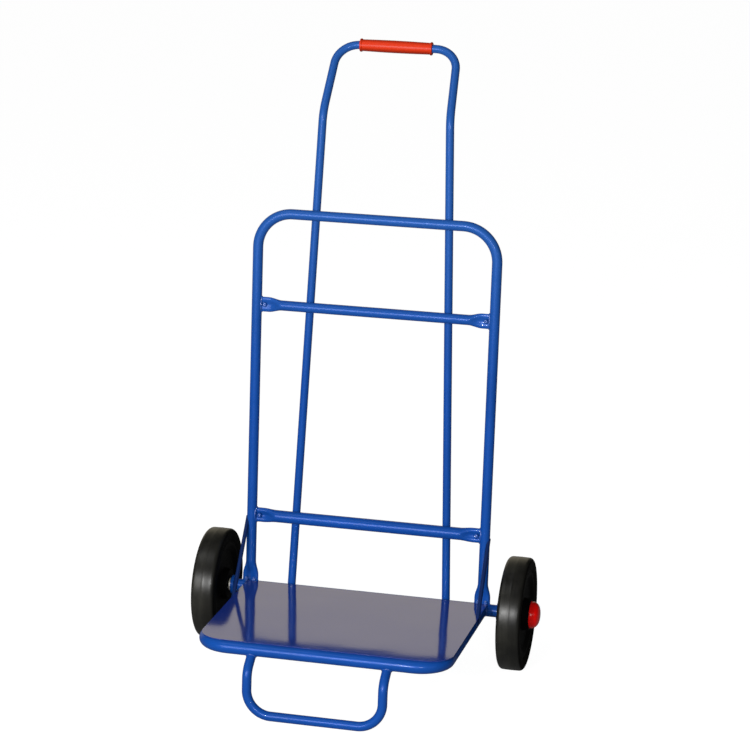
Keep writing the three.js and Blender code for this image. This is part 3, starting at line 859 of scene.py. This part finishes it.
def frame_welds():
    """The weld beads below the handle: how wide each is, and its path."""
    h, p, weld = sizes("hoop"), sizes("platform"), sizes("finish").weld
    axle = axle_tube_radius()
    origin = Vector((0, 0, 0))
    paths = []
    for side in SIDES.values():
        upright, inward = X * side * h.width / 2, X * -side
        for height, thickness in ((h.upper_height, h.upper_end), (h.lower_height, h.lower_end)):
            point = upright + Z * height
            paths.append((SEAM, weld_path(
                point, inward, Z * h.bar_end_width / 2, Y * thickness / 2, point, Z, h.tube / 2,
            )))
            tack = point + inward * (h.tube / 2 + weld * 4) - Y * thickness * 0.45
            paths.append((TACK, oval_path(tack, X * weld, Z * weld * 1.5)))
        foot_width, foot_depth = X * (h.foot_width - weld) / 2, Y * (h.foot_thickness - weld) / 2
        paths.append((SEAM, weld_path(upright, Z, foot_width, foot_depth, origin, X, axle)))
        for way in (-1, 1):
            tack = upright + X * way * h.foot_width * 0.24 - Y * h.foot_thickness * 0.45
            paths.append((TACK, oval_path(tack + Z * (axle + weld * 2), X * weld, Z * weld * 2)))
        rear = platform_side(side, 0)
        front = (platform_side(side, p.depth) - rear).normalized()
        across = front.cross(Z) * p.tube / 2
        paths.append((SEAM, weld_path(rear, front, across, Z * p.tube / 2, origin, X, axle)))
        end, bend, _ = stand_leg(side)
        down = (bend - end).normalized()
        paths.append((SEAM, weld_path(
            end, down, X * p.stand_tube / 2, down.cross(X) * p.stand_tube / 2,
            Vector((0, -p.depth, 0)), X, p.tube / 2,
        )))
    return paths


def handle_welds():
    """Small beads on both sides of each place where a handle leg crosses a tube."""
    h, g = sizes("hoop"), sizes("handle")
    crossings = (
        (0, axle_tube_radius()), (h.lower_height, h.lower_tube / 2),
        (h.upper_height, h.upper_tube / 2), (h.height, h.tube / 2),
    )
    paths = []
    for side in SIDES.values():
        foot, bend, _ = handle_leg(side)
        for height, radius in crossings:
            leg = foot.lerp(bend, (height - foot.z) / (bend.z - foot.z))
            contact = Vector((leg.x, (radius + leg.y - g.tube / 2) / 2, height))
            for way in (-1, 1):
                centre = contact + X * way * g.tube * 0.26
                paths.append((LEG_BEAD, oval_path(centre, X * 0.0016, Z * 0.0052)))
    return paths


# Operators

class CART_OT_hoop(bpy.types.Operator):
    """Bend the hoop from one tube, with crushed feet on the axle tube"""
    bl_idname = "cart.hoop"
    bl_label = "Hoop"

    def execute(self, context):
        h = sizes("hoop")
        end = (h.foot_length, h.foot_flat, h.foot_width, h.foot_thickness, X, Y)
        place_piece("hoop", tube_mesh(hoop_path(), h.tube, end), "enamel", ["hoop_frame"])
        return {"FINISHED"}


class CART_OT_crossbars(bpy.types.Operator):
    """Make both crossbars, their ends crushed upright against the hoop"""
    bl_idname = "cart.crossbars"
    bl_label = "Crossbars"

    def execute(self, context):
        h = sizes("hoop")
        bars = {
            "upper": (h.upper_height, h.upper_tube, h.upper_end),
            "lower": (h.lower_height, h.lower_tube, h.lower_end),
        }
        for name, (height, tube, thickness) in bars.items():
            end = (h.bar_end_length, h.bar_end_flat, h.bar_end_width, thickness, Z, Y)
            mesh = tube_mesh(bar_path(height), tube, end)
            place_piece(f"{name}_bar", mesh, "enamel", [f"{name}_crossbar"])
        return {"FINISHED"}


class CART_OT_handle(bpy.types.Operator):
    """Bend the handle loop behind the hoop"""
    bl_idname = "cart.handle"
    bl_label = "Handle loop"

    def execute(self, context):
        mesh = tube_mesh(handle_path(), sizes("handle").tube)
        place_piece("handle", mesh, "enamel", ["handle_loop"])
        return {"FINISHED"}


class CART_OT_grip(bpy.types.Operator):
    """Make the plastic grip, slightly barrelled, with a collar at each end"""
    bl_idname = "cart.grip"
    bl_label = "Grip"

    def execute(self, context):
        g = sizes("handle")
        low, high, _ = piece_box("handle_grip")
        half = (high.x - low.x) / 2
        top = handle_leg(1)[2]
        bore, body, collar = g.tube / 2, g.grip / 2, g.grip_collar / 2
        shoulder = half - g.grip_collar_width
        ease, swell, steps = 0.0009, 0.0007, 12
        shares = [k / steps for k in range(-steps, steps + 1)]
        barrel = [(shoulder * share * 0.97, body + swell * (1 - share * share)) for share in shares]
        left = [
            (-half, bore), (-half, collar - ease), (-half + ease, collar),
            (-shoulder - ease, collar), (-shoulder, collar - ease), (-shoulder, body),
        ]
        offset = g.skew * TOP_SKEW - g.grip_slip
        outline = [(along + offset, radius) for along, radius in left + barrel + mirrored(left)]
        place_piece("grip", turned(outline, 96, (top.y, top.z)), "grip", ["handle_grip"])
        return {"FINISHED"}


class CART_OT_platform(bpy.types.Operator):
    """Bend the platform's tube and lay the sheet on it"""
    bl_idname = "cart.platform"
    bl_label = "Platform"

    def execute(self, context):
        mesh = tube_mesh(platform_path(), sizes("platform").tube)
        place_piece("platform_tube", mesh, "enamel", ["platform_frame"])
        place_piece("platform_sheet", self.sheet(), "sheet", ["platform_plate"], crease=15)
        return {"FINISHED"}

    def rows(self):
        """Where each row of the sheet lies, from front to rear, and how far its ends stand in."""
        p = sizes("platform")
        corner, front = p.plate_corner, p.depth + p.plate_front
        rear = sizes("hoop").foot_thickness / 2 + seat_gap()
        curved, straight = 24, 12
        for k in range(curved, -1, -1):
            angle = math.pi / 2 * k / curved
            yield front - corner * (1 - math.sin(angle)), corner * (1 - math.cos(angle))
        for k in range(straight - 1, -1, -1):
            yield rear + (front - corner - rear) * k / straight, 0

    def sheet(self):
        """The sheet's top face as a grid, then given its thickness and rounded edges."""
        p = sizes("platform")
        top = max(p.tube / 2, axle_tube_radius()) + seat_gap() + p.plate
        shares = [k / 8 for k in range(-8, 9)]
        body = bmesh.new()
        grid = []
        for forward, inward in self.rows():
            edge = platform_side(1, forward).x + p.plate_side - inward
            places = [(p.plate_shift + edge * share, -forward, top) for share in shares]
            grid.append([body.verts.new(place) for place in places])
        for front_row, rear_row in zip(grid, grid[1:]):
            for k in range(len(shares) - 1):
                body.faces.new((front_row[k], front_row[k + 1], rear_row[k + 1], rear_row[k]))
        mesh = bpy.data.meshes.new("sheet")
        body.to_mesh(mesh)
        body.free()
        carrier = add_object("sheet", mesh)
        thickness = carrier.modifiers.new("thickness", "SOLIDIFY")
        thickness.thickness = p.plate
        thickness.offset = -1
        rounding = carrier.modifiers.new("rounding", "BEVEL")
        rounding.width = p.plate * 0.2
        rounding.segments = 2
        rounding.angle_limit = math.radians(50)
        return joined([baked(carrier)])


class CART_OT_braces(bpy.types.Operator):
    """Make the rods from the hoop down to the platform's sides"""
    bl_idname = "cart.braces"
    bl_label = "Braces"

    def execute(self, context):
        for name, side in SIDES.items():
            mesh = tube_mesh(brace_path(side), sizes("platform").brace)
            place_piece(f"{name}_brace", mesh, "rod", [f"brace_{name}"])
        return {"FINISHED"}


class CART_OT_stand(bpy.types.Operator):
    """Bend the stand loop under the platform"""
    bl_idname = "cart.stand"
    bl_label = "Stand"

    def execute(self, context):
        mesh = tube_mesh(stand_path(), sizes("platform").stand_tube)
        place_piece("stand", mesh, "enamel", ["stand_loop"])
        return {"FINISHED"}


class CART_OT_welds(bpy.types.Operator):
    """Lay the weld beads where tubes meet"""
    bl_idname = "cart.welds"
    bl_label = "Weld beads"

    def execute(self, context):
        for name, paths in (("frame_welds", frame_welds()), ("handle_welds", handle_welds())):
            beads = joined([bead_mesh(path, scale) for scale, path in paths])
            place_piece(name, beads, "weld", crease=60)
        return {"FINISHED"}


class CART_OT_axle(bpy.types.Operator):
    """Turn the axle, its tube, its collars and what holds the wheels on it"""
    bl_idname = "cart.axle"
    bl_label = "Axle"

    def execute(self, context):
        low, high, radius = piece_box("axle_tube")
        outline = ring_outline(low.x, high.x, radius, radius * 0.78, 0.0004)
        place_turned("axle_sleeve", outline, 64, "enamel", "axle_tube")
        low, high, radius = piece_box("axle_rod")
        ease = 0.001
        outline = [
            (low.x, 0), (low.x, radius - ease), (low.x + ease, radius),
            (high.x - ease, radius), (high.x, radius - ease), (high.x, 0),
        ]
        place_turned("axle", outline, 48, "steel", "axle_rod")
        fittings = {
            "axle_collar": ("enamel", 0.0008), "inner_washer": ("steel", 0.0003),
            "outer_washer": ("steel", 0.0003), "push_nut": ("steel", 0.0012),
        }
        bore = sizes("wheels").axle_bore / 2
        for side in SIDES:
            for node, (finish_name, ease) in fittings.items():
                low, high, radius = piece_box(f"{node}_{side}")
                outline = ring_outline(low.x, high.x, radius, bore, ease)
                place_turned(f"{side}_{node}_turned", outline, 64, finish_name, f"{node}_{side}")
        return {"FINISHED"}


class CART_OT_tyres(bpy.types.Operator):
    """Mould the solid tyres, with a mould line round the tread and ringed side walls"""
    bl_idname = "cart.tyres"
    bl_label = "Tyres"

    def execute(self, context):
        w = sizes("wheels")
        rings = ((0.0006, 0.0015), (0.0006, 0.0028), (0.0012, 0.0034))
        bulges = ((0.0007, 2.1), (0.0002, 1.9), (0.0, 1.5))
        for name in SIDES:
            low, high, crown = piece_box(f"tyre_{name}")
            half = (high.x - low.x) / 2
            wall = half - w.dish
            foot = w.rim / 2 + w.fit
            lip = w.rim / 2 + w.lip + w.fit
            side = [
                (-wall + w.lip_width, foot), (-wall + w.lip_width, lip), (-wall, lip),
                *((-wall - out, lip + up) for out, up in rings),
                *((-half + inset, crown - w.shoulder * down) for inset, down in bulges),
                *arc((-half + w.shoulder, crown - w.shoulder - 0.0004), w.shoulder, 180, 94, 9),
                (-half * 0.45, crown - 0.0003), (-half * 0.2, crown - 0.0002),
                (-0.0011, crown - 0.0001), (-0.0005, crown - 0.0001 + w.mould_line * 0.25),
            ]
            place_turned(
                f"{name}_tyre_moulded", side + mirrored(side), 160, "tyre", f"tyre_{name}",
                f"{name}_wheel", (low.x + high.x) / 2,
            )
        return {"FINISHED"}


class CART_OT_wheel_bodies(bpy.types.Operator):
    """Mould the wheel bodies and their bushes"""
    bl_idname = "cart.wheel_bodies"
    bl_label = "Wheel bodies"

    def execute(self, context):
        for name, side in SIDES.items():
            self.body(name, side)
            self.bushes(name, side)
        return {"FINISHED"}

    def body(self, name, side):
        """A disc with lips for the tyre, and a boss with a recess on its outer side."""
        w = sizes("wheels")
        low, high, _ = piece_box(f"wheel_rim_{name}")
        tyre_low, tyre_high, _ = piece_box(f"tyre_{name}")
        middle = (tyre_low.x + tyre_high.x) / 2
        wall = (tyre_high.x - tyre_low.x) / 2 - w.dish
        inner_end, outer_end = (middle - low.x, high.x - middle)[::side]
        seat, web, boss = w.rim / 2, w.web / 2, w.boss / 2
        lip, slope = seat + w.lip, seat - w.lip_width
        recess, bore = w.recess / 2, w.bore / 2
        floor = outer_end - w.recess_depth
        edge = wall - w.lip_width + w.fit
        root = boss + 0.002
        outline = eased([
            (-inner_end, bore), (-inner_end, boss), (-web, root), (-web, slope - w.dish_taper),
            (-wall, slope), (-wall, lip), (-edge, lip), (-edge, seat),
            (edge, seat), (edge, lip), (wall, lip), (wall, slope),
            (web, slope - w.dish_taper), (web, root), (outer_end, boss),
            (outer_end, recess), (floor, recess), (floor, bore),
        ], 0.0006)
        outline = [(side * along, radius) for along, radius in outline]
        place_turned(
            f"{name}_wheel_body", outline, 128, "rim", f"wheel_rim_{name}", f"{name}_wheel", middle,
        )

    def bushes(self, name, side):
        """A bush at each end of the bore, with its flange away from the wheel's middle."""
        w = sizes("wheels")
        body, bore = w.bore / 2 - w.fit, w.axle_bore / 2
        for place, way in (("inner", -side), ("outer", side)):
            node = f"{place}_bush_{name}"
            low, high, flange = piece_box(node)
            start, end = (low.x, high.x)[::way]
            step = end - way * w.flange
            outline = eased([
                (start, bore), (start, body), (step, body), (step, flange), (end, flange), (end, bore),
            ], 0.0003)
            place_turned(f"{name}_{place}_bush", outline, 64, "nylon", node, f"{name}_wheel")


class CART_OT_hub_caps(bpy.types.Operator):
    """Turn the domed red caps over the axle ends"""
    bl_idname = "cart.hub_caps"
    bl_label = "Hub caps"

    def execute(self, context):
        w = sizes("wheels")
        for name, side in SIDES.items():
            low, high, radius = piece_box(f"hub_cap_{name}")
            tip, skirt = (high.x, low.x) if side > 0 else (-low.x, -high.x)
            base = tip - w.cap_height
            collar = w.recess / 2 - w.fit
            outline = [
                *self.dome(base, w.cap_height, radius),
                *reversed(self.dome(base, w.cap_height - w.cap_wall, radius - w.cap_wall)),
                (skirt, collar - 0.0014), (skirt, collar), (base, collar), (base, radius - 0.0006),
            ]
            outline = [(side * along, reach) for along, reach in outline]
            place_turned(f"{name}_cap", outline, 96, "cap", f"hub_cap_{name}", f"{name}_wheel")
        return {"FINISHED"}

    def dome(self, base, height, radius, steps=24):
        """Points from the dome's foot to its tip, a little fuller than an ellipse."""
        points = []
        for k in range(steps):
            angle = math.pi / 2 * k / steps
            points.append((base + height * math.sin(angle) ** 0.8, radius * math.cos(angle) ** 0.75))
        return [*points, (base + height, 0.0)]


# Stage

CAMERA_FROM_AXLE = Vector((0.9134, -4.0372, 1.4870))
CAMERA_AZIMUTH = math.radians(12.646)
CAMERA_ELEVATION = math.radians(14.576)
CAMERA_ROLL = math.radians(1.517)
CAMERA_LENS = 117.87
FLOOR_REACH = 40.0
LAMPS = {
    "key": {"place": (-1.2, -4.2, 1.75), "aim": (0.0, 0.0, 0.4), "size": (2.8, 1.3), "power": 96.0},
    "low": {"place": (-1.0, -4.2, 0.8), "aim": (0.0, 0.0, 0.3), "size": (1.6, 0.7), "power": 27.0},
    "side": {"place": (1.3, -3.9, 1.4), "aim": (0.0, 0.0, 0.4), "size": (0.6, 0.6), "power": 42.0},
    "glint": {"place": (3.4, -2.6, 1.3), "aim": (0.3, 0.1, 0.1), "size": (0.16, 0.16), "power": 9.0},
    "spark": {"place": (-0.5, -4.2, 1.6), "aim": (0.0, 0.0, 0.4), "size": (0.09, 0.09), "power": 58.0},
    "top": {"place": (-1.2, -1.0, 3.4), "aim": (0.0, 0.0, 0.3), "size": (1.6, 1.2), "power": 10.0},
}


def camera_matrix():
    a, e, r = CAMERA_AZIMUTH, CAMERA_ELEVATION, CAMERA_ROLL
    back = Vector((math.sin(a) * math.cos(e), -math.cos(a) * math.cos(e), math.sin(e)))
    right = Vector((math.cos(a), math.sin(a), 0))
    up = back.cross(right)
    rolled_right = right * math.cos(r) + up * math.sin(r)
    rolled_up = up * math.cos(r) - right * math.sin(r)
    turn = Matrix((rolled_right, rolled_up, back)).transposed()
    return Matrix.Translation(axle_centre() + CAMERA_FROM_AXLE) @ turn.to_4x4()


def studio_world():
    """White for the camera, a warm sheen behind on the left for reflections, fill from the left."""
    world = bpy.data.worlds.new("studio")
    world.use_nodes = True
    world.node_tree.nodes.clear()
    graph = Graph(world.node_tree)
    across, back, up = graph.axes(graph.node("ShaderNodeTexCoord", output="Generated"))
    behind = graph.range(back, 0.35, 0.85, smooth=True)
    low = graph.range(up, 0.75, 0.35, smooth=True)
    left = graph.range(across, 0.12, -0.12, smooth=True)
    sheen = graph.range(behind * low * left, 0.0, 1.0, 0.04, 1.08)
    fill = graph.range(across, -0.5, 0.6, 0.24, 0.05)
    ray = graph.node("ShaderNodeLightPath", output="Is Camera Ray")
    glossy = ray.other("Is Glossy Ray")
    strength = ray + (1 - ray) * (glossy * sheen + (1 - glossy) * fill)
    warm = graph.mix(ray + (1 - ray) * (1 - glossy), (1, 0.90, 0.68, 1), (1, 1, 1, 1))
    light = graph.node("ShaderNodeBackground", {"Color": warm, "Strength": strength})
    graph.node("ShaderNodeOutputWorld", {"Surface": light})
    bpy.context.scene.world = world


class CART_OT_stage(bpy.types.Operator):
    """Set the floor, the lamps, the surroundings and the camera"""
    bl_idname = "cart.stage"
    bl_label = "Stage"

    def execute(self, context):
        scene = context.scene
        scene.view_settings.view_transform = "Standard"
        studio_world()
        mesh = bpy.data.meshes.new("floor")
        ways = ((-1, -1), (1, -1), (1, 1), (-1, 1))
        corners = [(x * FLOOR_REACH, y * FLOOR_REACH, 0) for x, y in ways]
        mesh.from_pydata(corners, [], [(0, 1, 2, 3)])
        mesh.materials.append(finish("floor"))
        floor = add_object("floor", mesh)
        for name, lamp in LAMPS.items():
            data = bpy.data.lights.new(name, "AREA")
            data.shape = "RECTANGLE"
            data.size, data.size_y = lamp["size"]
            data.energy = lamp["power"]
            light = add_object(name, data)
            way = Vector(lamp["aim"]) - Vector(lamp["place"])
            light.location = lamp["place"]
            light.rotation_euler = way.to_track_quat("-Z", "Y").to_euler()
        camera_data = bpy.data.cameras.new("camera")
        camera_data.lens = CAMERA_LENS
        camera_data.sensor_width = 36.0
        camera_data.clip_end = 100.0
        scene.camera = add_object("camera", camera_data)
        scene.camera.matrix_world = camera_matrix()
        return {"FINISHED"}


class CART_PT_panel(bpy.types.Panel):
    """Sizes, colours and steps of the cart"""
    bl_idname = "CART_PT_panel"
    bl_label = "Delivery cart"
    bl_space_type = "VIEW_3D"
    bl_region_type = "UI"
    bl_category = "Cart"

    def draw(self, context):
        for operator in OPERATORS:
            self.layout.operator(operator.bl_idname)
        for name, group in GROUPS.items():
            box = self.layout.box()
            box.label(text=group.__name__)
            for field in group.__annotations__:
                box.prop(getattr(context.scene, name), field)


OPERATORS = (
    CART_OT_hoop, CART_OT_crossbars, CART_OT_handle, CART_OT_grip, CART_OT_platform, CART_OT_braces,
    CART_OT_stand, CART_OT_welds, CART_OT_axle, CART_OT_tyres, CART_OT_wheel_bodies,
    CART_OT_hub_caps, CART_OT_stage,
)
CLASSES = (*GROUPS.values(), *OPERATORS, CART_PT_panel)


def register():
    for entry in CLASSES:
        bpy.utils.register_class(entry)
    for name, group in GROUPS.items():
        setattr(bpy.types.Scene, name, PointerProperty(type=group))


def unregister():
    for name in GROUPS:
        delattr(bpy.types.Scene, name)
    for entry in reversed(CLASSES):
        bpy.utils.unregister_class(entry)


def main():
    register()
    bpy.ops.cart.hoop()
    bpy.ops.cart.crossbars()
    bpy.ops.cart.handle()
    bpy.ops.cart.grip()
    bpy.ops.cart.platform()
    bpy.ops.cart.braces()
    bpy.ops.cart.stand()
    bpy.ops.cart.welds()
    bpy.ops.cart.axle()
    bpy.ops.cart.tyres()
    bpy.ops.cart.wheel_bodies()
    bpy.ops.cart.hub_caps()
    bpy.ops.cart.stage()


if __name__ == "__main__":
    main()
